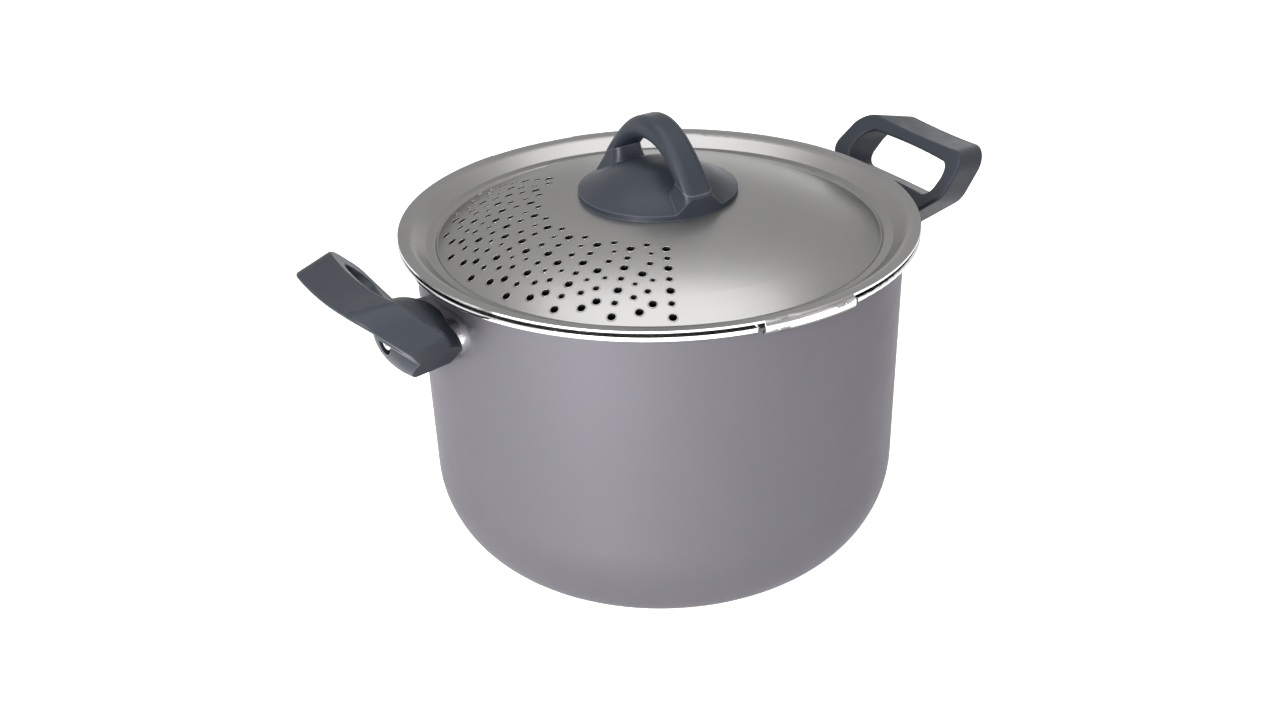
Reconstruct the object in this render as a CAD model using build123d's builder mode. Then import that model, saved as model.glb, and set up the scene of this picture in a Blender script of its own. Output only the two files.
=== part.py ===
from build123d import *
import math
import os

# A round pasta pot with two loop handles and a perforated strainer lid that drops in and turns to lock.
# Millimetres and degrees. The origin is the middle of the base, +Z is up and +X runs through one handle.

# General clearances
seat_gap = 0.08
body_gap = 0.3
overrun = 2.0

# Pot
pot_inner_radius = 109.3
pot_height = 159.9
wall_thickness = 1.6
base_thickness = 3.0
wall_taper = 5.85
corner_radius = 50.0
rim_reach = 7.0
rim_thickness = 2.0
rim_drop = 0.6
rim_cove = 0.7
rim_rounding = 0.7
seat_angle = 37.7
seat_run = 2.2
notch_span = 25.0
notch_reach = 3.9

# Lid sheet
sheet = 1.0
lid_stand = 1.4
flange_bend = 4.6
ledge_drop = 5.4
ledge_run = 3.9
ledge_fall = 0.3
ledge_bend = 1.2
valley_radius = 100.5
valley_lip_bend = 0.3
valley_bend = 0.5
# The dome falls from its middle by a square part and a fourth-power part
dome_rise = 14.9
dome_reach = 100.0
dome_sag = 12.28
dome_shoulder = 9.17
dome_lead = 2.2
dome_steps = 8

# Hook tabs of the lid
hook_span = 22.0
hook_clearance = 0.6
hook_bend = 1.7
hook_gap = 0.6
hook_grip = 2.2

# Strainer holes
large_hole_radius = 1.7
medium_hole_radius = 1.25
small_hole_radius = 0.93
first_hole_radius = 57.4
hole_row_pitch = 6.46
hole_rows = 7
hole_line_pitch = 15.25
hole_bays = 8
# Each hole of a bay: its size, how many row pitches it lies out, and its share of the bay's angle
bay_hole_shares = (
    ("medium", -0.5, 0.56), ("small", 0.45, 0.41), ("medium", 1.5, 0.42), ("large", 2.5, 0.57),
    ("small", 3.05, 0.34), ("small", 3.4, 0.69), ("medium", 4.0, 0.43), ("medium", 4.5, 0.68),
    ("large", 5.0, 0.33), ("large", 5.6, 0.55),
)

# Side handles, drawn as an outline at the pot's wall that narrows as it runs outwards and slightly down
handle_stand = 3.0
handle_width = 96.0
handle_narrowing = 0.28
handle_waist_height = 11.1
handle_foot_width = 15.0
handle_below = 28.5
handle_axis_drop = 7.2
handle_tilt = 7.2
handle_rise = 10.2
handle_reach = 37.8
handle_depth = 19.6
handle_front_slope = 46.5
handle_back_slope = 44.7
handle_dish = 3.4
handle_corner = 5.5
handle_outer_corner = 10.5
handle_waist_corner = 10.0
handle_foot_corner = 12.0
handle_rounding = 1.2
# Each handle swells round its fixing
swell_reach = 13.3
swell_drop = 22.9
swell_radius = 15.5
swell_length = 60.0
# The finger opening widens from a first section near the wall to a second one far out
grip_reach = 9.0
grip_run = 50.0
grip_drop = 1.7
grip_width = 64.0
grip_height = 11.4
grip_corner = 5.5
grip_far_width = 65.0
grip_far_height = 26.0
grip_far_corner = 9.0

# Handle fixing
collar_width = 41.0
collar_height = 17.6
collar_corner = 8.4
collar_wall = 1.2
collar_drop = 20.0
band_margin = 1.0
stud_radius = 5.0
stud_flange_radius = 7.0
stud_flange_thickness = 1.2
stud_length = 10.4
pocket_gap = 0.3
thread_radius = 2.5
thread_gap = 0.06
washer_hole_gap = 0.2
handle_bore_gap = 0.5
thread_bite = 7.0
clamp_wall = 13.5
recess_radius = 6.2
head_radius = 4.6
head_height = 3.4
head_rounding = 0.8
slot_length = 5.4
slot_width = 1.2
slot_depth = 1.3
washer_radius = 5.4
washer_thickness = 1.0

# Knob base
knob_radius = 36.0
knob_edge = 2.8
knob_crown = 12.8
knob_wall = 3.0
knob_edge_rounding = 0.8
boss_radius = 8.5
# The crown's outline, as shares of the knob's radius and of the crown's height
crown_shares = ((1.0, 0.0), (0.86, 0.17), (0.68, 0.44), (0.4, 0.78), (0.04, 1.0))

# Knob loop and its shoulders
loop_width = 14.4
loop_span = 35.4
loop_foot = 12.5
loop_foot_rise = 6.0
shoulder_rise = 7.0
loop_height = 26.6
loop_thickness = 10.8
loop_rounding = 4.2
loop_sections = 11
shoulder_flare = 6.8
shoulder_waist = 1.4
shoulder_run = 5.0
shoulder_inner_run = 3.0
shoulder_fall = 1.0
shoulder_rounding = 0.5
loop_screw_place = 28.2
loop_screw_radius = 1.5
loop_screw_head_radius = 2.7
loop_screw_head_height = 1.8
loop_screw_seat_gap = 0.3
loop_screw_grip = 4.9
loop_screw_bite = 3.2
loop_screw_gap = 0.05
loop_screw_slot_length = 3.2
loop_screw_slot_width = 0.8
loop_screw_slot_depth = 0.8

# Lid screw, washer and insert
insert_radius = 4.0
insert_length = 9.0
lid_screw_radius = 2.4
lid_screw_clearance = 0.08
lid_hole_gap = 0.4
lid_screw_bite = 7.5
lid_screw_head_radius = 4.75
lid_screw_head_height = 3.0
lid_screw_head_rounding = 1.2
lid_washer_radius = 9.0
lid_washer_thickness = 1.2

# Derived places of the pot
wall_radius = pot_inner_radius + wall_thickness
foot_radius = wall_radius - wall_taper
rim_radius = wall_radius + rim_reach
rim_top = pot_height - rim_drop
rim_bottom = rim_top - rim_thickness
neck_height = rim_bottom - rim_cove
seat_slope = math.tan(math.radians(seat_angle))
seat_top_radius = pot_inner_radius + seat_run
seat_foot = pot_height - seat_run * seat_slope

# Derived places of the lid, whose slope runs beside the pot's seat
lid_bottom = pot_height + lid_stand
lid_top = lid_bottom + sheet
slope_gap = (body_gap + sheet) / math.cos(math.radians(seat_angle))
slope_top_radius = seat_top_radius + (lid_top - pot_height - slope_gap) / seat_slope
ledge_height = lid_top - ledge_drop
ledge_radius = slope_top_radius - ledge_drop / seat_slope
dome_top = lid_top + dome_rise
dome_foot_radius = valley_radius - dome_lead
hook_radius = rim_radius + hook_clearance + sheet


def dome_at(radius):
    """The height of the dome's upper face at a radius."""
    share = radius / dome_reach
    return dome_top - dome_sag * share ** 2 - dome_shoulder * share ** 4


def dome_slope(radius):
    """How steeply the dome's upper face falls at a radius."""
    share = radius / dome_reach
    return (2 * dome_sag * share + 4 * dome_shoulder * share ** 3) / dome_reach


def dome_points(first, last, lift):
    """Points of a curve that runs at a distance above the dome, from one radius to another."""
    points = []
    for step in range(dome_steps + 1):
        radius = first + (last - first) * step / dome_steps
        lean = math.atan(dome_slope(radius))
        points.append((radius + lift * math.sin(lean), dome_at(radius) + lift * math.cos(lean)))
    return points


def dome_arcs(last, lift):
    """Draws a chain of tangent arcs at a distance above the dome, from its middle out to a radius."""
    points = dome_points(0, last, lift)
    heading = (1, 0)
    for here, after in zip(points, points[1:]):
        arc = TangentArc(here, after, tangent=heading)
        heading = arc % 1


# Derived places of the knob
knob_edge_top = dome_at(knob_radius) + knob_edge
crown_top = knob_edge_top + knob_crown
loop_foot_height = knob_edge_top + shoulder_rise
loop_inner_span = loop_span - loop_foot
loop_inner_foot_height = loop_foot_height + loop_foot_rise
loop_top = loop_foot_height + loop_height
loop_opening_top = loop_top - loop_thickness

# Derived places of the handles
handle_start = wall_radius + handle_stand
handle_front_radius = wall_radius + handle_reach
handle_back_radius = handle_front_radius + handle_depth
handle_top = pot_height + handle_rise
handle_lean = math.radians(handle_tilt)
handle_back_top = handle_top - handle_depth * math.tan(handle_lean)
handle_axis_height = pot_height - handle_axis_drop
handle_above = (
    handle_reach * math.sin(handle_lean) + (handle_top - handle_axis_height) * math.cos(handle_lean)
)
collar_middle = pot_height - collar_drop
swell_middle = wall_radius + swell_reach
swell_height = pot_height - swell_drop
grip_start = wall_radius + grip_reach
grip_top = handle_top - grip_drop
grip_far_top = grip_top - grip_run * math.tan(handle_lean)
front_run = 1.0 / math.tan(math.radians(handle_front_slope))
back_run = 1.0 / math.tan(math.radians(handle_back_slope))
wall_run = wall_taper / neck_height
handle_start_height = handle_top - (handle_front_radius - handle_start) / front_run


def wall_at(height):
    """The outer radius of the pot's wall at a height."""
    return wall_radius - (neck_height - height) * wall_run


def front_at(height):
    """The radius of a handle's inner face at a height."""
    return handle_front_radius - (handle_top - height) * front_run


def back_at(height):
    """The radius of a handle's outer face at a height."""
    return handle_back_radius - (handle_back_top - height) * back_run


stud_end = wall_at(collar_middle) + stud_length
clamp_start = stud_end + seat_gap
clamp_end = clamp_start + clamp_wall
washer_start = clamp_end + seat_gap
head_start = washer_start + washer_thickness + seat_gap


def outward(side, radius, height, tilt=0.0):
    """A plane that faces away from the pot's axis, with its own Y upwards."""
    lean = math.radians(tilt)
    return Plane(
        origin=(side * radius, 0, height),
        x_dir=(0, side, 0),
        z_dir=(side * math.cos(lean), 0, -math.sin(lean)),
    )


def upright(angle):
    """A plane through the pot's axis at an angle, with its own X outwards and its own Y upwards."""
    turn = math.radians(angle)
    return Plane(
        origin=(0, 0, 0),
        x_dir=(math.cos(turn), math.sin(turn), 0),
        z_dir=(math.sin(turn), -math.cos(turn), 0),
    )


def ring_sector(inner, outer, middle, span):
    """A sector of a ring, round the origin of a sketch."""
    start = middle - span / 2
    with BuildSketch() as sector:
        with BuildLine():
            far = CenterArc((0, 0), outer, start, span)
            near = CenterArc((0, 0), inner, start, span)
            Line(far @ 0, near @ 0)
            Line(far @ 1, near @ 1)
        make_face()
    return sector.sketch_local


def offset_points(points, distance):
    """The corners of a line that runs beside a row of points, at a distance to its left."""
    moved = []
    for place, point in enumerate(points):
        here = Vector(*point)
        before = here - Vector(*points[place - 1]) if place > 0 else None
        after = Vector(*points[place + 1]) - here if place < len(points) - 1 else None
        first = (before or after).normalized()
        second = (after or before).normalized()
        left = Vector(-first.Y, first.X)
        corner = (left + Vector(-second.Y, second.X)).normalized()
        moved.append(here + corner * (distance / corner.dot(left)))
    return moved


def turns(points):
    """For each inner point, whether the row turns to its left there."""
    result = []
    for before, here, after in zip(points, points[1:], points[2:]):
        cross = (Vector(*here) - Vector(*before)).cross(Vector(*after) - Vector(*here))
        result.append(cross.Z > 0)
    return result


def grouped(solids):
    """Several separate solids as one node."""
    return Compound(children=list(solids))


def finish(part, name):
    """Labels a finished piece and writes it."""
    part.label = name
    export_step(part, f"parts/{name}.step")


os.makedirs("parts", exist_ok=True)

# Pot body
with BuildPart() as pot_body:
    with BuildSketch(Plane.XZ):
        with BuildLine():
            inner_foot_radius = foot_radius - wall_thickness
            outline = FilletPolyline(
                (0, 0),
                (foot_radius, 0),
                (wall_radius, neck_height),
                (rim_radius, rim_bottom),
                (rim_radius, rim_top),
                (seat_top_radius, pot_height),
                (pot_inner_radius, seat_foot),
                (inner_foot_radius, base_thickness),
                (0, base_thickness),
                radius=(corner_radius, rim_rounding, rim_rounding, rim_rounding, wall_thickness / 3,
                        wall_thickness / 3, corner_radius - wall_thickness),
            )
            Line(outline @ 1, outline @ 0)
        make_face()
    revolve(axis=Axis.Z)
    # The two rim notches, one on each side between the handles
    with BuildSketch(Plane.XY.offset(neck_height - overrun)):
        for middle in (90, 270):
            add(ring_sector(rim_radius - notch_reach, rim_radius + overrun, middle, notch_span))
    extrude(amount=pot_height - neck_height + 2 * overrun, mode=Mode.SUBTRACT)
finish(pot_body.part, "pot_body")

# Lid plate
lid_points = [
    (rim_radius, lid_top),
    (slope_top_radius, lid_top),
    (ledge_radius, ledge_height),
    (ledge_radius - ledge_run, ledge_height - ledge_fall),
    (valley_radius, dome_at(dome_foot_radius) - dome_lead * dome_slope(dome_foot_radius)),
    (dome_foot_radius, dome_at(dome_foot_radius)),
]
lid_bends = (flange_bend, ledge_bend, valley_lip_bend, valley_bend)
lid_turns = turns(lid_points)
lid_under_points = offset_points(lid_points, sheet)
hole_radius = {"large": large_hole_radius, "medium": medium_hole_radius, "small": small_hole_radius}
first_line = 180 - hole_line_pitch * hole_bays / 2
strainer_holes = []
for line in range(hole_bays + 1):
    for row in range(hole_rows):
        size = "large" if row % 2 == 0 else "medium"
        reach = first_hole_radius + row * hole_row_pitch
        strainer_holes.append((size, reach, first_line + line * hole_line_pitch))
for bay in range(hole_bays):
    for size, row, share in bay_hole_shares:
        reach = first_hole_radius + row * hole_row_pitch
        strainer_holes.append((size, reach, first_line + (bay + 1 - share) * hole_line_pitch))
hook_floor = rim_bottom - hook_gap - sheet
hook_tip = rim_radius - hook_grip
hook_start = hook_radius - hook_bend - 2 * sheet
lid_hole_radius = lid_screw_radius + lid_hole_gap
with BuildPart() as lid_plate:
    with BuildSketch(Plane.XZ):
        with BuildLine():
            upper = FilletPolyline(
                *lid_points,
                radius=[bend + sheet if left else bend for bend, left in zip(lid_bends, lid_turns)],
            )
            under = FilletPolyline(
                *lid_under_points,
                radius=[bend if left else bend + sheet for bend, left in zip(lid_bends, lid_turns)],
            )
            dome_arcs(dome_foot_radius, 0)
            dome_arcs(dome_foot_radius, -sheet)
            Line((0, dome_top), (0, dome_top - sheet))
            Line(upper @ 0, under @ 0)
        make_face()
    revolve(axis=Axis.Z)
    # The flange gives way to the two hooks
    with BuildSketch(Plane.XY.offset(lid_bottom - overrun)):
        for middle in (90, 270):
            add(ring_sector(hook_start, rim_radius + overrun, middle, hook_span))
    extrude(amount=sheet + 2 * overrun, mode=Mode.SUBTRACT)
    for middle in (90, 270):
        with BuildSketch(upright(middle - hook_span / 2)):
            with BuildLine():
                outside = FilletPolyline(
                    (hook_start, lid_top),
                    (hook_radius, lid_top),
                    (hook_radius, hook_floor),
                    (hook_tip, hook_floor),
                    radius=hook_bend + sheet,
                )
                inside = FilletPolyline(
                    (hook_start, lid_bottom),
                    (hook_radius - sheet, lid_bottom),
                    (hook_radius - sheet, hook_floor + sheet),
                    (hook_tip, hook_floor + sheet),
                    radius=hook_bend,
                )
                Line(outside @ 0, inside @ 0)
                Line(outside @ 1, inside @ 1)
            make_face()
        revolve(axis=Axis.Z, revolution_arc=hook_span)
    # Every strainer hole, and the hole for the lid screw
    with BuildSketch(Plane.XY.offset(ledge_height - overrun)):
        for size, reach, angle in strainer_holes:
            with PolarLocations(reach, 1, start_angle=angle):
                Circle(hole_radius[size])
        Circle(lid_hole_radius)
    extrude(amount=dome_top - ledge_height + 2 * overrun, mode=Mode.SUBTRACT)
finish(lid_plate.part, "lid_plate")

# Knob base
crown_points = [(radius * knob_radius, knob_edge_top + height * knob_crown) for radius, height in crown_shares]
cavity_points = [(radius, height - knob_wall) for radius, height in crown_points]
crown_tangents = [(-1, knob_crown / knob_radius), (-1, 0)]
knob_floor = dome_at(knob_radius) - overrun
shoulder_floor = knob_edge_top - shoulder_fall
foot_lean = math.atan2(loop_foot_rise, loop_foot)
foot_length = math.hypot(loop_foot, loop_foot_rise)
foot_middle = (loop_span + loop_inner_span) / 2
foot_middle_height = (loop_foot_height + loop_inner_foot_height) / 2
base_middle = (loop_inner_span - shoulder_inner_run + loop_span + shoulder_run) / 2
base_length = loop_foot + shoulder_inner_run + shoulder_run
seam_at_screw = loop_foot_height + (loop_span - loop_screw_place) * loop_foot_rise / loop_foot
loop_screw_seat = seam_at_screw - loop_screw_grip
loop_screw_end = seam_at_screw + loop_screw_bite


def shoulder_plane(side, share):
    """A level of a shoulder, from the loop's seam at share 0 to the edge of the disc at share 1."""
    lean = foot_lean * (1 - share)
    return Plane(
        origin=(
            0,
            side * (foot_middle + (base_middle - foot_middle) * share),
            foot_middle_height + (shoulder_floor - foot_middle_height) * share - seat_gap,
        ),
        x_dir=(side, 0, 0),
        z_dir=(0, side * math.sin(lean), math.cos(lean)),
    )


with BuildPart() as knob_base:
    with BuildSketch(Plane.XZ):
        with BuildLine():
            slope = Spline(crown_points, tangents=crown_tangents)
            Polyline(slope @ 1, (0, crown_top), (0, knob_floor), (knob_radius, knob_floor), slope @ 0)
        make_face()
    revolve(axis=Axis.Z)
    # The shoulders flare from the loop's feet to the edge of the disc
    for side in (1, -1):
        with BuildSketch(shoulder_plane(side, 0)):
            RectangleRounded(loop_width, foot_length, loop_rounding)
        with BuildSketch(shoulder_plane(side, 1 / 2)):
            RectangleRounded(
                loop_width + 2 * shoulder_waist, (foot_length + base_length) / 2, loop_rounding
            )
        with BuildSketch(shoulder_plane(side, 1)):
            RectangleRounded(loop_width + 2 * shoulder_flare, base_length, loop_rounding)
        loft()
    with BuildSketch(Plane.XY.offset(knob_floor)):
        Circle(knob_radius)
    extrude(amount=crown_top + knob_crown - knob_floor, mode=Mode.INTERSECT)
    # Hollow underside round a central boss
    with BuildSketch(Plane.XZ):
        with BuildLine():
            roof = Spline(cavity_points, tangents=crown_tangents)
            Polyline(roof @ 1, (0, knob_floor), (knob_radius, knob_floor), roof @ 0)
        make_face()
        with Locations(((boss_radius + knob_radius - knob_wall) / 2, knob_floor)):
            Rectangle(
                knob_radius - knob_wall - boss_radius, 2 * (knob_crown + knob_floor), mode=Mode.INTERSECT
            )
    revolve(axis=Axis.Z, mode=Mode.SUBTRACT)
    # The disc sits on the dome
    with BuildSketch(Plane.XZ):
        with BuildLine():
            seat = Spline(dome_points(0, knob_radius + overrun, seat_gap))
            Polyline(seat @ 1, ((seat @ 1).X, knob_floor - overrun), (0, knob_floor - overrun), seat @ 0)
        make_face()
    revolve(axis=Axis.Z, mode=Mode.SUBTRACT)
    with BuildSketch(Plane.XY.offset(dome_top - overrun)):
        Circle(insert_radius)
    extrude(amount=overrun + insert_length + 2 * seat_gap, mode=Mode.SUBTRACT)
    for radius, low, high in (
        (loop_screw_radius + loop_screw_gap, knob_floor, crown_top),
        (loop_screw_head_radius + loop_screw_seat_gap, knob_floor, loop_screw_seat),
    ):
        with BuildSketch(Plane.XY.offset(low)):
            with Locations((0, loop_screw_place), (0, -loop_screw_place)):
                Circle(radius)
        extrude(amount=high - low, mode=Mode.SUBTRACT)
finish(knob_base.part, "knob_base")

# Knob loop, lofted through sections that follow its inner and its outer arch
def arch_point(span, foot, top, place):
    """A point of an arch, from place -1 at one foot over 0 at its top to 1 at the other foot."""
    return Vector(0, span * place, top - (top - foot) * place ** 2)


with BuildPart() as knob_loop:
    for step in range(loop_sections):
        place = 2 * step / (loop_sections - 1) - 1
        outer_point = arch_point(loop_span, loop_foot_height, loop_top, place)
        inner_point = arch_point(loop_inner_span, loop_inner_foot_height, loop_opening_top, place)
        across = outer_point - inner_point
        with BuildSketch(
            Plane(
                origin=(outer_point + inner_point) / 2,
                x_dir=(1, 0, 0),
                z_dir=(0, -across.Z, across.Y),
            )
        ):
            RectangleRounded(loop_width, across.length, loop_rounding)
    loft()
    with BuildSketch(Plane.XY.offset(loop_screw_seat)):
        with Locations((0, loop_screw_place), (0, -loop_screw_place)):
            Circle(loop_screw_radius + loop_screw_gap)
    extrude(amount=loop_screw_end + seat_gap - loop_screw_seat, mode=Mode.SUBTRACT)
finish(knob_loop.part, "knob_loop")


def screw(origin, towards, shank_radius, shank_length, screw_head_radius, screw_head_height, rounding,
          slot):
    """A screw with a cross slot: its head's seat lies at the origin and its shank runs towards the end."""
    axis = Vector(*towards)
    across = Vector(0, 1, 0)
    slot_long, slot_wide, slot_deep = slot
    with BuildPart() as fastener:
        with BuildSketch(Plane(origin=origin, x_dir=across, z_dir=-axis)):
            Circle(screw_head_radius)
        extrude(amount=screw_head_height)
        fillet(fastener.faces().sort_by(Axis((0, 0, 0), -axis))[-1].edges(), rounding)
        with BuildSketch(Plane(origin=origin, x_dir=across, z_dir=axis)):
            Circle(shank_radius)
        extrude(amount=shank_length)
        slot_origin = Vector(*origin) - axis * (screw_head_height - slot_deep)
        with BuildSketch(Plane(origin=slot_origin, x_dir=across, z_dir=-axis)):
            Rectangle(slot_long, slot_wide)
            Rectangle(slot_wide, slot_long)
        extrude(amount=slot_deep + overrun, mode=Mode.SUBTRACT)
    return fastener.part


def washer(origin, towards, outer_radius, hole_radius, thickness):
    """A flat washer that starts at the origin and grows along a direction."""
    with BuildPart() as ring:
        with BuildSketch(Plane(origin=origin, x_dir=(0, 1, 0), z_dir=towards)):
            Circle(outer_radius)
            Circle(hole_radius, mode=Mode.SUBTRACT)
        extrude(amount=thickness)
    return ring.part


loop_screws = [
    screw((0, side * loop_screw_place, loop_screw_seat - seat_gap), (0, 0, 1), loop_screw_radius,
          loop_screw_end - loop_screw_seat, loop_screw_head_radius, loop_screw_head_height, head_rounding,
          (loop_screw_slot_length, loop_screw_slot_width, loop_screw_slot_depth))
    for side in (1, -1)
]
finish(grouped(loop_screws), "knob_loop_screws")

# Knob insert
insert = washer((0, 0, dome_top + seat_gap), (0, 0, 1), insert_radius - seat_gap,
                lid_screw_radius + lid_screw_clearance, insert_length)
finish(insert, "knob_insert")

# Lid washer and lid screw, which stay still while the lid turns round them
lid_washer_top = dome_at(lid_washer_radius) - sheet - body_gap
under_washer = washer((0, 0, lid_washer_top), (0, 0, -1), lid_washer_radius,
                      lid_screw_radius + washer_hole_gap, lid_washer_thickness)
finish(under_washer, "lid_washer")
lid_screw_seat = lid_washer_top - lid_washer_thickness - seat_gap
under_screw = screw((0, 0, lid_screw_seat), (0, 0, 1), lid_screw_radius,
                    dome_top + lid_screw_bite - lid_screw_seat, lid_screw_head_radius,
                    lid_screw_head_height, lid_screw_head_rounding, (slot_length, slot_width, slot_depth))
finish(under_screw, "lid_screw")

# The space between the pot's wall and the handles' inner faces, with its seat gaps
band_low = collar_middle - collar_height / 2 - band_margin
band_high = collar_middle + collar_height / 2 + band_margin


def swelling(side, growth):
    """The swelling of one handle round its fixing, grown by a distance."""
    with BuildPart() as body:
        with BuildSketch(Plane.XY.offset(swell_height)):
            with Locations((side * swell_middle, 0)):
                Ellipse(swell_radius + growth, swell_length / 2 + growth)
            with Locations((side * (swell_middle + swell_length / 2), 0)):
                Rectangle(swell_length, 2 * swell_length, mode=Mode.INTERSECT)
        revolve(axis=Axis((side * swell_middle, 0, swell_height), (0, 1, 0)))
        with BuildSketch(Plane.XY.offset(swell_height - swell_radius - overrun)):
            Circle(handle_start - growth)
        extrude(amount=2 * (swell_radius + overrun), mode=Mode.SUBTRACT)
    return body.part


def make_collar(side):
    """A rounded metal sleeve between the wall and one handle."""
    with BuildPart() as collar:
        with BuildSketch(outward(side, wall_radius - wall_taper, collar_middle)):
            RectangleRounded(collar_width, collar_height, collar_corner)
            RectangleRounded(
                collar_width - 2 * collar_wall,
                collar_height - 2 * collar_wall,
                collar_corner - collar_wall,
                mode=Mode.SUBTRACT,
            )
        extrude(amount=handle_back_radius - wall_radius)
        with BuildSketch(Plane.XZ):
            with BuildLine():
                Polyline(
                    (wall_at(band_low) + seat_gap, band_low),
                    (handle_start - seat_gap, band_low),
                    (handle_start - seat_gap, handle_start_height),
                    (front_at(band_high) - seat_gap, band_high),
                    (wall_at(band_high) + seat_gap, band_high),
                    close=True,
                )
            make_face()
        revolve(axis=Axis.Z, mode=Mode.INTERSECT)
        add(swelling(side, seat_gap), mode=Mode.SUBTRACT)
    return collar.part


def make_stud(side):
    """A threaded stud on the wall, under one collar."""
    with BuildPart() as stud:
        for radius, reach in ((stud_flange_radius, stud_flange_thickness), (stud_radius, stud_length)):
            with BuildSketch(outward(side, wall_radius - wall_taper, collar_middle)):
                Circle(radius)
            extrude(amount=wall_at(collar_middle) + reach - wall_radius + wall_taper)
        with BuildSketch(Plane.XZ):
            with BuildLine():
                Polyline(
                    (wall_at(band_low) + seat_gap, band_low),
                    (handle_back_radius, band_low),
                    (handle_back_radius, band_high),
                    (wall_at(band_high) + seat_gap, band_high),
                    close=True,
                )
            make_face()
        revolve(axis=Axis.Z, mode=Mode.INTERSECT)
        with BuildSketch(outward(side, stud_end - thread_bite - overrun, collar_middle)):
            Circle(thread_radius + thread_gap)
        extrude(amount=thread_bite + 2 * overrun, mode=Mode.SUBTRACT)
    return stud.part


def handle_outline(side, share):
    """The outline of one handle, at the wall for share 0 and past its outer end for share 1."""
    reach = share * (handle_back_radius - wall_radius + overrun)
    half_width = handle_width / 2 - handle_narrowing * reach
    waist_run = (handle_width - handle_foot_width) / 2 / (handle_waist_height + handle_below)
    waist_height = handle_waist_height - (handle_width / 2 - half_width) / waist_run
    corner_height = handle_above + handle_dish * (2 * half_width / handle_width) ** 2
    place = outward(side, wall_radius, handle_axis_height, handle_tilt).offset(reach)
    with BuildSketch(place) as outline:
        with BuildLine():
            edge = Polyline(
                (half_width, corner_height),
                (half_width, waist_height),
                (handle_foot_width / 2, -handle_below),
                (-handle_foot_width / 2, -handle_below),
                (-half_width, waist_height),
                (-half_width, corner_height),
            )
            ThreePointArc(edge @ 0, (0, handle_above), edge @ 1)
        make_face()
        fillet(outline.vertices().group_by(Axis.Y)[1], handle_waist_corner)
        fillet(outline.vertices().group_by(Axis.Y)[0], handle_foot_corner)
        corner = handle_corner + (handle_outer_corner - handle_corner) * share
        fillet(outline.vertices().group_by(Axis.Y)[-1], corner)
    return outline.sketch


def handle_block(side):
    """The outline of one handle, run outwards past its faces."""
    with BuildPart() as block:
        add(handle_outline(side, 0))
        add(handle_outline(side, 1))
        loft(ruled=True)
    return block.part


def make_handle(side):
    """One loop handle with its screw bore, its screw recess and its pocket for the stud."""
    block = handle_block(side)
    with BuildPart() as handle:
        add(block)
        # The sloping inner and outer faces are round about the pot's axis
        low = handle_back_top - (handle_back_radius - handle_start) / back_run
        high = handle_axis_height + 2 * handle_above
        with BuildSketch(Plane.XZ):
            with BuildLine():
                Polyline(
                    (handle_start, low), (back_at(high), high), (front_at(high), high),
                    (handle_start, handle_start_height), close=True,
                )
            make_face()
        revolve(axis=Axis.Z, mode=Mode.INTERSECT)
        # Finger opening
        for place, top, width, height, corner in (
            (grip_start, grip_top, grip_width, grip_height, grip_corner),
            (grip_start + grip_run, grip_far_top, grip_far_width, grip_far_height, grip_far_corner),
        ):
            with BuildSketch(outward(side, place, top - height / 2)):
                RectangleRounded(width, height, corner)
        loft(mode=Mode.SUBTRACT)
        broad_faces = handle.faces().filter_by(GeomType.CONE).sort_by(SortBy.AREA)[-2:]
        fillet(broad_faces.edges(), handle_rounding)
        add(swelling(side, 0) & block)
        # Pocket for the stud, bore for the screw and recess for its head
        for radius, start, reach in (
            (stud_radius + pocket_gap, wall_radius - wall_taper, clamp_start),
            (thread_radius + handle_bore_gap, clamp_start - overrun, clamp_end + overrun),
            (recess_radius, clamp_end, handle_back_radius),
        ):
            with BuildSketch(outward(side, start, collar_middle)):
                Circle(radius)
            extrude(amount=reach - start, mode=Mode.SUBTRACT)
    return handle.part


names = {1: "right", -1: "left"}
for side in (1, -1):
    finish(make_collar(side), f"{names[side]}_collar")
    finish(make_handle(side), f"{names[side]}_handle")
finish(grouped([make_stud(side) for side in (1, -1)]), "handle_studs")

handle_washer_pair = [
    washer((side * washer_start, 0, collar_middle), (side, 0, 0), washer_radius,
           thread_radius + washer_hole_gap, washer_thickness)
    for side in (1, -1)
]
finish(grouped(handle_washer_pair), "handle_washers")

handle_screw_pair = [
    screw((side * head_start, 0, collar_middle), (-side, 0, 0), thread_radius,
          head_start - stud_end + thread_bite, head_radius, head_height, head_rounding,
          (slot_length, slot_width, slot_depth))
    for side in (1, -1)
]
finish(grouped(handle_screw_pair), "handle_screws")
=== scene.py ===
import math

import bpy
from mathutils import Matrix, Vector


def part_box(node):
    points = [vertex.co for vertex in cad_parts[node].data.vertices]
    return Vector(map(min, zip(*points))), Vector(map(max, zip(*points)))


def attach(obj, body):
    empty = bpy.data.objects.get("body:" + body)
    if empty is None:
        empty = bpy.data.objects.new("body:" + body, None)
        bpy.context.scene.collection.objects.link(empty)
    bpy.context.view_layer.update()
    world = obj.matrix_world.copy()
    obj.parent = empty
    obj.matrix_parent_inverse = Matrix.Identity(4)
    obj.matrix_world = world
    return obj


# A pasta pot with a strainer lid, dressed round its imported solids. Metres, +Z up, the pot's axis on the origin.

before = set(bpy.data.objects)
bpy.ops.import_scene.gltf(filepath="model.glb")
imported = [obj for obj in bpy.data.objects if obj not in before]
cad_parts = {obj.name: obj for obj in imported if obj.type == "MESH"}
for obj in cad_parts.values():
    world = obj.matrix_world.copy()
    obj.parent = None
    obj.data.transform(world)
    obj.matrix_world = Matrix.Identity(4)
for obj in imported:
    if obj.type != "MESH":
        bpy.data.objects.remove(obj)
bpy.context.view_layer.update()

mm = 0.001

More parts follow.
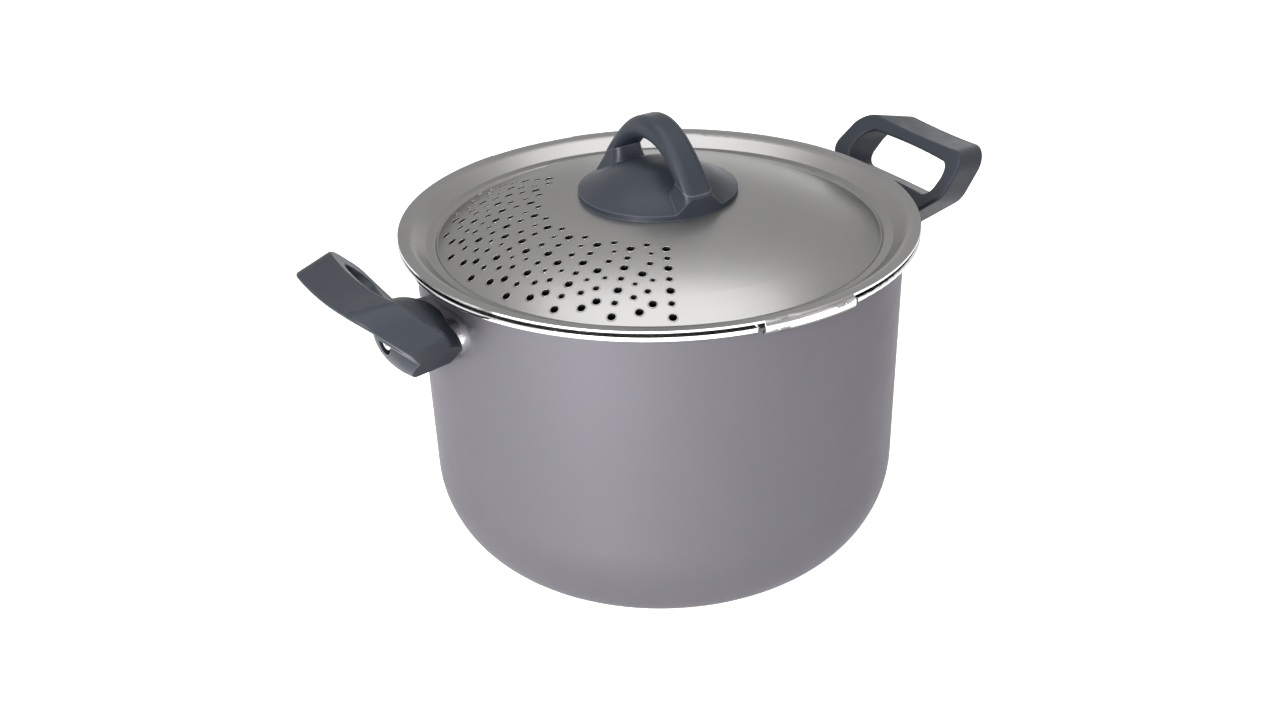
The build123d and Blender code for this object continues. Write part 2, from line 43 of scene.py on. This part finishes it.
# Camera, fitted to the rim of the pot and to the strainer holes
camera_place = (-0.47319, -0.75912, 0.53367)
camera_forward = (0.46541, 0.76613, -0.44321)
camera_roll = math.radians(1.679)
camera_lens = 60.07
camera_sensor = 36.0

# Strainer holes: radii, rows and lines as on the lid's solid
hole_radii = {"large": 1.7 * mm, "medium": 1.25 * mm, "small": 0.93 * mm}
first_hole_radius = 57.4 * mm
hole_row_pitch = 6.46 * mm
hole_rows = 7
hole_line_pitch = math.radians(15.25)
hole_bays = 8
bay_hole_shares = (
    ("medium", -0.5, 0.56), ("small", 0.45, 0.41), ("medium", 1.5, 0.42), ("large", 2.5, 0.57),
    ("small", 3.05, 0.34), ("small", 3.4, 0.69), ("medium", 4.0, 0.43), ("medium", 4.5, 0.68),
    ("large", 5.0, 0.33), ("large", 5.6, 0.55),
)

# The dome's form, which the hole lips follow
dome_top = 177.2 * mm
dome_reach = 100.0 * mm
dome_sag = 12.28 * mm
dome_shoulder = 9.17 * mm
lip_thickness = 0.32 * mm
lip_flatness = 0.5
lip_sides = 6
lip_segments = 18

# Lengths of the finishes
rim_band_foot = 157.0 * mm
rim_neck_radius = 112.6 * mm
lining_radius = 109.6 * mm
lining_foot = 2.5 * mm
hole_shade_radius = 98.0 * mm
cut_edge_width = 0.15 * mm
edge_radius = 0.9 * mm
small_edge_radius = 0.3 * mm

# Room and lights
floor_size = 12.0
floor_colour = (0.80, 0.80, 0.80)
white = (1.0, 1.0, 1.0)


# Shader parts

def new_group(name, inputs, outputs):
    """An empty shader node group with its sockets."""
    group = bpy.data.node_groups.new(name, "ShaderNodeTree")
    for socket, kind, value in inputs:
        made = group.interface.new_socket(socket, in_out="INPUT", socket_type=f"NodeSocket{kind}")
        made.default_value = value
    for socket, kind in outputs:
        group.interface.new_socket(socket, in_out="OUTPUT", socket_type=f"NodeSocket{kind}")
    group.nodes.new("NodeGroupInput").name = "in"
    group.nodes.new("NodeGroupOutput").name = "out"
    return group


def add_node(tree, kind, **settings):
    """A node with its properties set."""
    node = tree.nodes.new(kind)
    for name, value in settings.items():
        setattr(node, name, value)
    return node


def math_node(tree, operation, first, second=None, clamp=False):
    """A Math node between sockets or numbers; returns its result."""
    node = add_node(tree, "ShaderNodeMath", operation=operation, use_clamp=clamp)
    for place, value in enumerate((first, second)):
        if value is None:
            continue
        if isinstance(value, (int, float)):
            node.inputs[place].default_value = value
        else:
            tree.links.new(value, node.inputs[place])
    return node.outputs[0]


def mix_colours(tree, factor, first, second, blend="MIX"):
    """A colour mix between sockets or colours; returns its result."""
    node = add_node(tree, "ShaderNodeMix", data_type="RGBA", blend_type=blend)
    for name, value in (("Factor_Float", factor), ("A_Color", first), ("B_Color", second)):
        socket = next(s for s in node.inputs if s.identifier == name)
        if isinstance(value, bpy.types.NodeSocket):
            tree.links.new(value, socket)
        elif isinstance(value, (int, float)):
            socket.default_value = value
        else:
            socket.default_value = (*value, 1.0)
    return next(s for s in node.outputs if s.identifier == "Result_Color")


def object_point(tree):
    """The Object coordinates of the surface."""
    return add_node(tree, "ShaderNodeTexCoord").outputs["Object"]


def noise(tree, point, scale, detail=2.0):
    """The value of a noise at a scale per metre."""
    node = add_node(tree, "ShaderNodeTexNoise")
    tree.links.new(point, node.inputs["Vector"])
    node.inputs["Scale"].default_value = scale
    node.inputs["Detail"].default_value = detail
    return node.outputs["Fac"]


def remap(tree, value, low, high, new_low, new_high):
    """A value moved from one range to another, clamped."""
    node = add_node(tree, "ShaderNodeMapRange", clamp=True)
    tree.links.new(value, node.inputs["Value"])
    for name, number in (("From Min", low), ("From Max", high), ("To Min", new_low), ("To Max", new_high)):
        node.inputs[name].default_value = number
    return node.outputs["Result"]


def make_round_group():
    """Distance from the pot's axis and height over its base."""
    group = new_group("round_place", (), (("Radius", "Float"), ("Height", "Float"), ("Turn", "Float")))
    point = object_point(group)
    parts = add_node(group, "ShaderNodeSeparateXYZ")
    group.links.new(point, parts.inputs[0])
    squares = [math_node(group, "POWER", parts.outputs[axis], 2.0) for axis in (0, 1)]
    radius = math_node(group, "SQRT", math_node(group, "ADD", *squares))
    turn = math_node(group, "ARCTAN2", parts.outputs[1], parts.outputs[0])
    group.links.new(radius, group.nodes["out"].inputs["Radius"])
    group.links.new(parts.outputs[2], group.nodes["out"].inputs["Height"])
    group.links.new(turn, group.nodes["out"].inputs["Turn"])
    return group


def make_grain_group():
    """Fine sprayed grain with soft clouds: a value round one for the colour, and a height."""
    group = new_group(
        "fine_grain",
        (("Grain Scale", "Float", 2500.0), ("Cloud Scale", "Float", 18.0), ("Amount", "Float", 0.1)),
        (("Tone", "Float"), ("Height", "Float")),
    )
    point = object_point(group)
    fine = add_node(group, "ShaderNodeTexNoise")
    fine.inputs["Detail"].default_value = 3.0
    cloud = add_node(group, "ShaderNodeTexNoise")
    for node, scale in ((fine, "Grain Scale"), (cloud, "Cloud Scale")):
        group.links.new(point, node.inputs["Vector"])
        group.links.new(group.nodes["in"].outputs[scale], node.inputs["Scale"])
    soft_cloud = math_node(group, "MULTIPLY", cloud.outputs["Fac"], 0.6)
    both = math_node(group, "ADD", fine.outputs["Fac"], soft_cloud)
    centred = math_node(group, "SUBTRACT", both, 0.8)
    scaled = math_node(group, "MULTIPLY", centred, group.nodes["in"].outputs["Amount"])
    group.links.new(math_node(group, "ADD", scaled, 1.0), group.nodes["out"].inputs["Tone"])
    group.links.new(fine.outputs["Fac"], group.nodes["out"].inputs["Height"])
    return group


def make_edge_highlight_group():
    """A painted highlight mask, bright along rounded edges where they catch the light."""
    group = new_group(
        "edge_highlight",
        (("Radius", "Float", edge_radius), ("Amount", "Float", 1.0)),
        (("Mask", "Float"),),
    )
    bevel = add_node(group, "ShaderNodeBevel", samples=6)
    group.links.new(group.nodes["in"].outputs["Radius"], bevel.inputs["Radius"])
    plain = add_node(group, "ShaderNodeNewGeometry")
    across = add_node(group, "ShaderNodeVectorMath", operation="DOT_PRODUCT")
    group.links.new(bevel.outputs["Normal"], across.inputs[0])
    group.links.new(plain.outputs["Normal"], across.inputs[1])
    bent = math_node(group, "SUBTRACT", 1.0, across.outputs["Value"])
    strong = math_node(group, "MULTIPLY", bent, 9.0, clamp=True)
    mask = math_node(group, "MULTIPLY", strong, group.nodes["in"].outputs["Amount"])
    group.links.new(mask, group.nodes["out"].inputs["Mask"])
    return group


def place_group(tree, group, **values):
    """A node of one of the groups, with its own values."""
    node = add_node(tree, "ShaderNodeGroup", node_tree=group)
    for name, value in values.items():
        node.inputs[name.replace("_", " ")].default_value = value
    return node


def new_material(name, metallic, roughness, **sockets):
    """A Principled material; returns it with its tree and its shader node."""
    material = bpy.data.materials.new(name)
    material.use_nodes = True
    tree = material.node_tree
    shader = tree.nodes["Principled BSDF"]
    shader.inputs["Metallic"].default_value = metallic
    shader.inputs["Roughness"].default_value = roughness
    for socket, value in sockets.items():
        shader.inputs[socket.replace("_", " ")].default_value = value
    return material, tree, shader


def add_bump(tree, shader, height, distance, strength=1.0):
    """A Bump node from a height to the shader's normal."""
    bump = add_node(tree, "ShaderNodeBump")
    bump.inputs["Distance"].default_value = distance
    bump.inputs["Strength"].default_value = strength
    tree.links.new(height, bump.inputs["Height"])
    tree.links.new(bump.outputs["Normal"], shader.inputs["Normal"])


def toned(tree, colour, tone):
    """A colour times a tone round one."""
    shade = add_node(tree, "ShaderNodeCombineColor")
    for place in range(3):
        tree.links.new(tone, shade.inputs[place])
    return mix_colours(tree, 1.0, colour, shade.outputs[0], blend="MULTIPLY")


round_group = make_round_group()
grain_group = make_grain_group()
edge_highlight_group = make_edge_highlight_group()


# Finishes

def graphite_coating():
    """The pot's sprayed graphite coat, with its bare rim band and its darker non-stick inside."""
    material, tree, shader = new_material(
        "graphite_coating", 0.5, 0.48, Specular_Tint=(0.5, 0.5, 0.52, 1.0)
    )
    place = place_group(tree, round_group)
    grain = place_group(tree, grain_group, Grain_Scale=2600.0, Cloud_Scale=14.0, Amount=0.16)
    coat = toned(tree, (0.090, 0.086, 0.097), grain.outputs["Tone"])
    inside = math_node(tree, "LESS_THAN", place.outputs["Radius"], lining_radius)
    under = math_node(tree, "GREATER_THAN", place.outputs["Height"], lining_foot)
    normal = add_node(tree, "ShaderNodeNewGeometry")
    outwards = add_node(tree, "ShaderNodeVectorMath", operation="DOT_PRODUCT")
    tree.links.new(normal.outputs["Normal"], outwards.inputs[0])
    point = add_node(tree, "ShaderNodeTexCoord")
    flat_point = add_node(tree, "ShaderNodeVectorMath", operation="MULTIPLY")
    tree.links.new(point.outputs["Object"], flat_point.inputs[0])
    flat_point.inputs[1].default_value = (1.0, 1.0, 0.0)
    tree.links.new(flat_point.outputs[0], outwards.inputs[1])
    facing_in = math_node(tree, "LESS_THAN", outwards.outputs["Value"], 0.01)
    lined = math_node(tree, "MULTIPLY", math_node(tree, "MULTIPLY", inside, under), facing_in)
    lining = toned(tree, (0.05, 0.05, 0.053), grain.outputs["Tone"])
    body = mix_colours(tree, lined, coat, lining)
    high = math_node(tree, "GREATER_THAN", place.outputs["Height"], rim_band_foot)
    far = math_node(tree, "GREATER_THAN", place.outputs["Radius"], rim_neck_radius)
    rim = math_node(tree, "MULTIPLY", high, far)
    tree.links.new(mix_colours(tree, rim, body, (0.86, 0.86, 0.87)), shader.inputs["Base Color"])
    rough = remap(tree, rim, 0.0, 1.0, 0.48, 0.14)
    soft = noise(tree, object_point(tree), 60.0)
    rough = math_node(tree, "ADD", rough, remap(tree, soft, 0.3, 0.7, -0.025, 0.025))
    tree.links.new(rough, shader.inputs["Roughness"])
    tree.links.new(remap(tree, rim, 0.0, 1.0, 0.5, 1.0), shader.inputs["Metallic"])
    add_bump(tree, shader, grain.outputs["Height"], 0.012 * mm, 0.6)
    return material


def lid_coating():
    """The lid's satin champagne-grey coat, with painted shade on the steep walls of the punched holes, and bare
    on the cut edge.
    """
    material, tree, shader = new_material("lid_coating", 0.9, 0.34, Specular_Tint=(0.6, 0.6, 0.6, 1.0))
    place = place_group(tree, round_group)
    grain = place_group(tree, grain_group, Grain_Scale=3200.0, Cloud_Scale=12.0, Amount=0.12)
    coat = toned(tree, (0.212, 0.210, 0.206), grain.outputs["Tone"])
    geometry = add_node(tree, "ShaderNodeNewGeometry")
    parts = add_node(tree, "ShaderNodeSeparateXYZ")
    tree.links.new(geometry.outputs["Normal"], parts.inputs[0])
    steep = math_node(tree, "LESS_THAN", math_node(tree, "ABSOLUTE", parts.outputs[2]), 0.3)
    near = math_node(tree, "LESS_THAN", place.outputs["Radius"], hole_shade_radius)
    edge = math_node(tree, "GREATER_THAN", place.outputs["Radius"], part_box("lid_plate")[1].x - cut_edge_width)
    # Painted shade: the steep walls of the holes, and the steep sides of their lips, are darkened near-black.
    painted_hole_shade = math_node(tree, "MULTIPLY", steep, near)
    bare = math_node(tree, "MULTIPLY", steep, edge)
    coat = mix_colours(tree, painted_hole_shade, coat, (0.04, 0.04, 0.04))
    tree.links.new(mix_colours(tree, bare, coat, (0.82, 0.82, 0.82)), shader.inputs["Base Color"])
    rough = remap(tree, bare, 0.0, 1.0, 0.34, 0.2)
    soft = noise(tree, object_point(tree), 45.0)
    rough = math_node(tree, "ADD", rough, remap(tree, soft, 0.3, 0.7, -0.02, 0.02))
    tree.links.new(rough, shader.inputs["Roughness"])
    add_bump(tree, shader, grain.outputs["Height"], 0.010 * mm, 0.5)
    return material


def charcoal_plastic():
    """Moulded charcoal plastic with a fine matt grain and painted highlights on its edges."""
    material, tree, shader = new_material("charcoal_plastic", 0.0, 0.46, Specular_IOR_Level=0.2)
    grain = place_group(tree, grain_group, Grain_Scale=4200.0, Cloud_Scale=30.0, Amount=0.25)
    edge = place_group(tree, edge_highlight_group, Amount=0.55)
    base = toned(tree, (0.013, 0.016, 0.022), grain.outputs["Tone"])
    # Painted highlight: the rounded edges are lightened to a grey where they catch the light.
    colour = mix_colours(tree, edge.outputs["Mask"], base, (0.075, 0.08, 0.095))
    tree.links.new(colour, shader.inputs["Base Color"])
    soft = noise(tree, object_point(tree), 90.0)
    tree.links.new(remap(tree, soft, 0.3, 0.7, 0.42, 0.50), shader.inputs["Roughness"])
    add_bump(tree, shader, grain.outputs["Height"], 0.05 * mm, 0.7)
    return material


def polished_steel():
    """Bright polished steel with faint drawing lines."""
    material, tree, shader = new_material("polished_steel", 1.0, 0.1)
    grain = place_group(tree, grain_group, Grain_Scale=900.0, Cloud_Scale=40.0, Amount=0.08)
    tree.links.new(toned(tree, (0.74, 0.74, 0.76), grain.outputs["Tone"]), shader.inputs["Base Color"])
    soft = noise(tree, object_point(tree), 220.0, 4.0)
    tree.links.new(remap(tree, soft, 0.3, 0.7, 0.07, 0.16), shader.inputs["Roughness"])
    add_bump(tree, shader, soft, 0.02 * mm, 0.4)
    return material


def plain_steel():
    """Plain zinc-plated steel of screws, studs and washers."""
    material, tree, shader = new_material("plain_steel", 1.0, 0.3)
    grain = place_group(tree, grain_group, Grain_Scale=1600.0, Cloud_Scale=160.0, Amount=0.3)
    edge = place_group(tree, edge_highlight_group, Radius=small_edge_radius, Amount=0.5)
    base = toned(tree, (0.50, 0.50, 0.51), grain.outputs["Tone"])
    # Painted highlight: the rounded edges are lightened where they catch the light.
    colour = mix_colours(tree, edge.outputs["Mask"], base, (0.8, 0.8, 0.8))
    tree.links.new(colour, shader.inputs["Base Color"])
    tree.links.new(remap(tree, grain.outputs["Height"], 0.3, 0.7, 0.24, 0.38), shader.inputs["Roughness"])
    add_bump(tree, shader, grain.outputs["Height"], 0.02 * mm, 0.5)
    return material


def insert_brass():
    """Turned brass of the knob's insert."""
    material, tree, shader = new_material("insert_brass", 1.0, 0.28)
    grain = place_group(tree, grain_group, Grain_Scale=1400.0, Cloud_Scale=120.0, Amount=0.3)
    tree.links.new(toned(tree, (0.62, 0.45, 0.2), grain.outputs["Tone"]), shader.inputs["Base Color"])
    tree.links.new(remap(tree, grain.outputs["Height"], 0.3, 0.7, 0.22, 0.36), shader.inputs["Roughness"])
    add_bump(tree, shader, grain.outputs["Height"], 0.02 * mm, 0.5)
    return material


node_finishes = {
    graphite_coating: ("pot_body",),
    lid_coating: ("lid_plate",),
    charcoal_plastic: ("left_handle", "right_handle", "knob_base", "knob_loop"),
    polished_steel: ("left_collar", "right_collar"),
    plain_steel: ("handle_studs", "handle_washers", "handle_screws", "lid_washer", "lid_screw",
                  "knob_loop_screws"),
    insert_brass: ("knob_insert",),
}
finishes = {}
for make_finish, node_names in node_finishes.items():
    finishes[make_finish.__name__] = make_finish()
    for node_name in node_names:
        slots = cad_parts[node_name].material_slots
        for place in slots:
            place.material = finishes[make_finish.__name__]


# Lips of the strainer holes

def dome_fall(radius):
    """How far the dome has fallen at a radius, and how steeply it falls there."""
    share = radius / dome_reach
    fall = dome_sag * share ** 2 + dome_shoulder * share ** 4
    slope = (2 * dome_sag * share + 4 * dome_shoulder * share ** 3) / dome_reach
    return fall, slope


def strainer_holes():
    """Size, distance from the axis and angle of each hole."""
    first_line = math.pi - hole_line_pitch * hole_bays / 2
    for line in range(hole_bays + 1):
        for row in range(hole_rows):
            size = "large" if row % 2 == 0 else "medium"
            yield size, first_hole_radius + row * hole_row_pitch, first_line + line * hole_line_pitch
    for bay in range(hole_bays):
        for size, row, share in bay_hole_shares:
            angle = first_line + (bay + 1 - share) * hole_line_pitch
            yield size, first_hole_radius + row * hole_row_pitch, angle


def make_hole_lips(top):
    """A thin rolled lip round each hole, lying on the dome."""
    bpy.ops.object.select_all(action="DESELECT")
    lips = []
    for size, reach, angle in strainer_holes():
        fall, slope = dome_fall(reach)
        lean = math.atan(slope)
        bpy.ops.mesh.primitive_torus_add(
            major_segments=lip_segments,
            minor_segments=lip_sides,
            major_radius=hole_radii[size] + lip_thickness,
            minor_radius=lip_thickness,
            location=(reach * math.cos(angle), reach * math.sin(angle), top - fall),
            rotation=(0.0, lean, angle),
        )
        lips.append(bpy.context.object)
        lips[-1].scale = (1.0, 1.0, lip_flatness)
    for lip in lips:
        lip.select_set(True)
    bpy.context.view_layer.objects.active = lips[0]
    bpy.ops.object.join()
    bpy.ops.object.transform_apply(location=True, rotation=True, scale=True)
    joined = bpy.context.object
    joined.name = "hole_lips"
    bpy.ops.object.shade_smooth()
    # The lid's coat, whose painted hole shade also darkens the steep sides of the lips.
    joined.data.materials.append(finishes["lid_coating"])
    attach(joined, "lid")


make_hole_lips(dome_top)


# Floor, lights and camera

def make_floor():
    """A pale floor that stays white to the camera and keeps a soft shadow."""
    bpy.ops.object.select_all(action="DESELECT")
    bpy.ops.mesh.primitive_plane_add(size=floor_size, location=(0.0, 0.0, 0.0))
    floor = bpy.context.object
    floor.name = "floor"
    material = bpy.data.materials.new("floor_white")
    material.use_nodes = True
    tree = material.node_tree
    shader = tree.nodes["Principled BSDF"]
    shader.inputs["Base Color"].default_value = (*floor_colour, 1.0)
    shader.inputs["Roughness"].default_value = 0.9
    glow = add_node(tree, "ShaderNodeEmission")
    seen = seen_rays(tree)
    tree.links.new(math_node(tree, "MULTIPLY", seen, 0.75), glow.inputs["Strength"])
    both = add_node(tree, "ShaderNodeAddShader")
    tree.links.new(shader.outputs[0], both.inputs[0])
    tree.links.new(glow.outputs[0], both.inputs[1])
    tree.links.new(both.outputs[0], tree.nodes["Material Output"].inputs["Surface"])
    floor.data.materials.append(material)


def seen_rays(tree):
    """One for rays that show the background: straight ones, mirrored ones and ones through glass."""
    path = add_node(tree, "ShaderNodeLightPath")
    mirrored = math_node(
        tree, "MAXIMUM", path.outputs["Is Glossy Ray"], path.outputs["Is Transmission Ray"]
    )
    return math_node(tree, "MAXIMUM", path.outputs["Is Camera Ray"], mirrored)


def make_world():
    """White to the camera and in reflections, and a moderate even light on everything else."""
    world = bpy.data.worlds.new("studio")
    world.use_nodes = True
    tree = world.node_tree
    background = tree.nodes["Background"]
    background.inputs["Color"].default_value = (*white, 1.0)
    strength = remap(tree, seen_rays(tree), 0.0, 1.0, 0.35, 1.0)
    tree.links.new(strength, background.inputs["Strength"])
    bpy.context.scene.world = world


def add_softbox(name, place, aim, width, height, power, colour=white):
    """A rectangular soft light that faces a point."""
    light = bpy.data.lights.new(name, "AREA")
    light.shape = "RECTANGLE"
    light.size = width
    light.size_y = height
    light.energy = power
    light.color = colour
    lamp = bpy.data.objects.new(name, light)
    lamp.location = place
    lamp.rotation_euler = (Vector(aim) - Vector(place)).to_track_quat("-Z", "Y").to_euler()
    bpy.context.scene.collection.objects.link(lamp)


def make_camera():
    """The camera of the photograph, from its place, its direction and its roll."""
    forward = Vector(camera_forward).normalized()
    right = forward.cross(Vector((0.0, 0.0, 1.0))).normalized()
    up = right.cross(forward)
    turned_right = right * math.cos(camera_roll) - up * math.sin(camera_roll)
    turned_up = right * math.sin(camera_roll) + up * math.cos(camera_roll)
    matrix = Matrix((turned_right, turned_up, -forward)).transposed().to_4x4()
    matrix.translation = camera_place
    data = bpy.data.cameras.new("camera")
    data.sensor_width = camera_sensor
    data.lens = camera_lens
    camera = bpy.data.objects.new("camera", data)
    camera.matrix_world = matrix
    bpy.context.scene.collection.objects.link(camera)
    bpy.context.scene.camera = camera


make_floor()
make_world()
add_softbox("overhead", (-0.1, -0.15, 1.3), (0.0, 0.0, 0.15), 1.4, 1.4, 20.0)
add_softbox("left_front", (-1.2, -0.7, 0.42), (0.0, 0.0, 0.08), 0.4, 0.8, 45.0)
add_softbox("right_front", (0.9, -1.1, 0.5), (0.0, 0.0, 0.08), 0.6, 0.9, 5.0, (0.95, 0.86, 1.0))
add_softbox("back", (1.0, 1.1, 0.3), (0.0, 0.0, 0.17), 0.8, 0.4, 1.2)
make_camera()
bpy.context.scene.view_settings.view_transform = "Standard"
